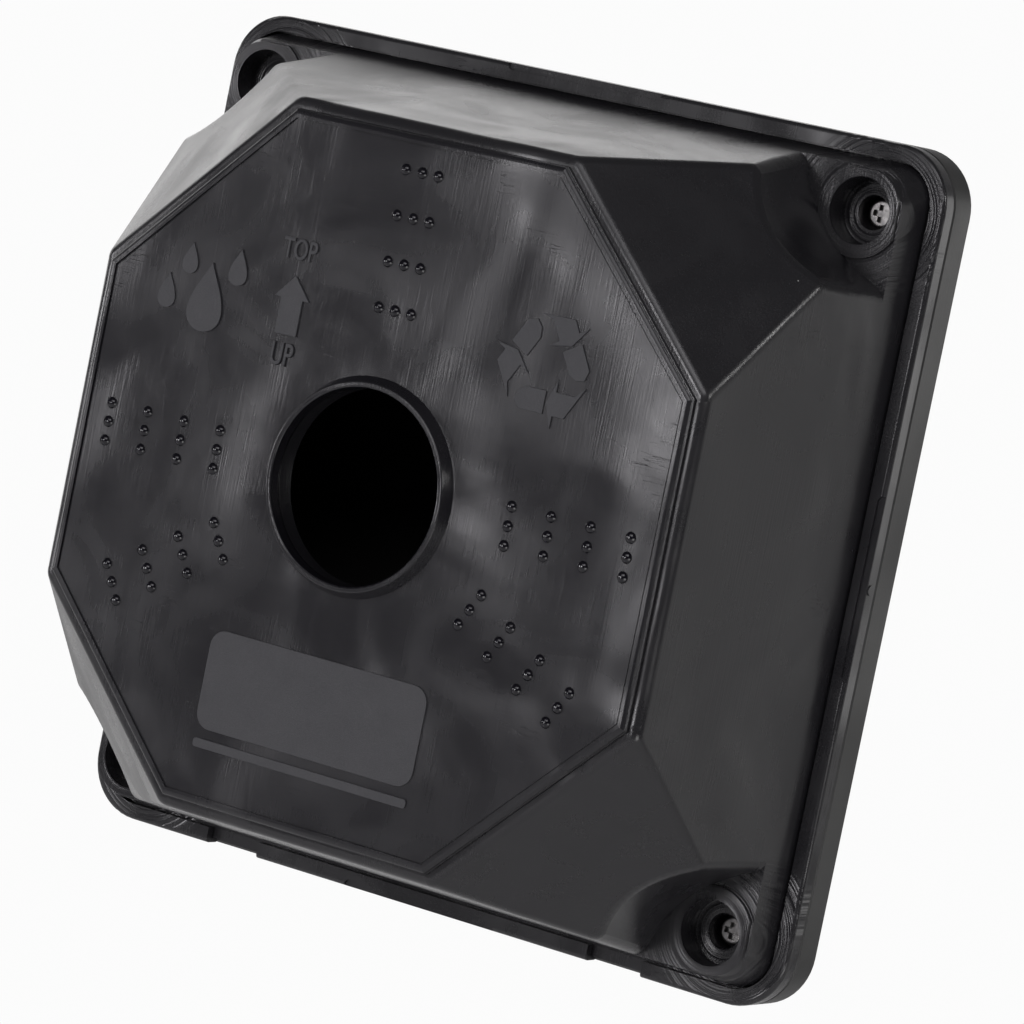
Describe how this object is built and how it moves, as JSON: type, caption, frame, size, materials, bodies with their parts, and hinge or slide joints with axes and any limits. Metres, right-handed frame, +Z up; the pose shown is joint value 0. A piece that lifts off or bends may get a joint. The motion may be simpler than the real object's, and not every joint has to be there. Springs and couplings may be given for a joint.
{
  "type": "junction box",
  "caption": "Square black plastic surface-mount junction box: tapered cover with an octagonal face and central cable hole, on a flat back plate held by corner screws.",
  "frame": {"origin": "centre of the back face of the back plate, on the wall plane", "axes": "+Z up the wall, +X to the right seen from the front, front of the box faces -Y, +Y into the wall"},
  "size_m": [0.1302, 0.049, 0.13],
  "materials": {
    "moulded_black": "satin moulded black ABS with fine moulding lines",
    "plate_black": "fine matt moulded black ABS",
    "seal_rubber": "matt black rubber",
    "grommet_rubber": "matt black rubber",
    "screw_steel": "zinc-plated steel"
  },
  "bodies": {
    "back": {"back_plate": "plate_black", "perimeter_gasket": "seal_rubber", "rear_cable_grommet": "grommet_rubber"},
    "cover": {"front_cover": "moulded_black"},
    "seal_top_left": {"screw_seal_top_left": "seal_rubber"},
    "screw_top_left": {"cover_screw_top_left": "screw_steel"},
    "seal_top_right": {"screw_seal_top_right": "seal_rubber"},
    "screw_top_right": {"cover_screw_top_right": "screw_steel"},
    "seal_bottom_left": {"screw_seal_bottom_left": "seal_rubber"},
    "screw_bottom_left": {"cover_screw_bottom_left": "screw_steel"},
    "seal_bottom_right": {"screw_seal_bottom_right": "seal_rubber"},
    "screw_bottom_right": {"cover_screw_bottom_right": "screw_steel"}
  },
  "joints": [
    {"name": "cover_lift_off", "type": "slide", "parent": "back", "child": "cover", "axis": [0, -1, 0], "range_m": [0, 0.06]},
    {"name": "screw_travel_top_left", "type": "slide", "parent": "cover", "child": "seal_top_left", "axis": [0, -1, 0], "range_m": [0, 0.0035]},
    {"name": "screw_turn_top_left", "type": "hinge", "parent": "seal_top_left", "child": "screw_top_left", "pos_m": [-0.0543, -0.006, 0.0543], "axis": [0, -1, 0], "range_deg": [0, 1801]},
    {"name": "screw_travel_top_right", "type": "slide", "parent": "cover", "child": "seal_top_right", "axis": [0, -1, 0], "range_m": [0, 0.0035]},
    {"name": "screw_turn_top_right", "type": "hinge", "parent": "seal_top_right", "child": "screw_top_right", "pos_m": [0.0543, -0.006, 0.0543], "axis": [0, -1, 0], "range_deg": [0, 1801]},
    {"name": "screw_travel_bottom_left", "type": "slide", "parent": "cover", "child": "seal_bottom_left", "axis": [0, -1, 0], "range_m": [0, 0.0035]},
    {"name": "screw_turn_bottom_left", "type": "hinge", "parent": "seal_bottom_left", "child": "screw_bottom_left", "pos_m": [-0.0543, -0.006, -0.0543], "axis": [0, -1, 0], "range_deg": [0, 1801]},
    {"name": "screw_travel_bottom_right", "type": "slide", "parent": "cover", "child": "seal_bottom_right", "axis": [0, -1, 0], "range_m": [0, 0.0035]},
    {"name": "screw_turn_bottom_right", "type": "hinge", "parent": "seal_bottom_right", "child": "screw_bottom_right", "pos_m": [0.0543, -0.006, -0.0543], "axis": [0, -1, 0], "range_deg": [0, 1801]}
  ],
  "couplings": [
    {"joint": "screw_turn_top_left", "follows": "screw_travel_top_left", "rad_per_m": 8976},
    {"joint": "screw_turn_top_right", "follows": "screw_travel_top_right", "rad_per_m": 8976},
    {"joint": "screw_turn_bottom_left", "follows": "screw_travel_bottom_left", "rad_per_m": 8976},
    {"joint": "screw_turn_bottom_right", "follows": "screw_travel_bottom_right", "rad_per_m": 8976}
  ]
}
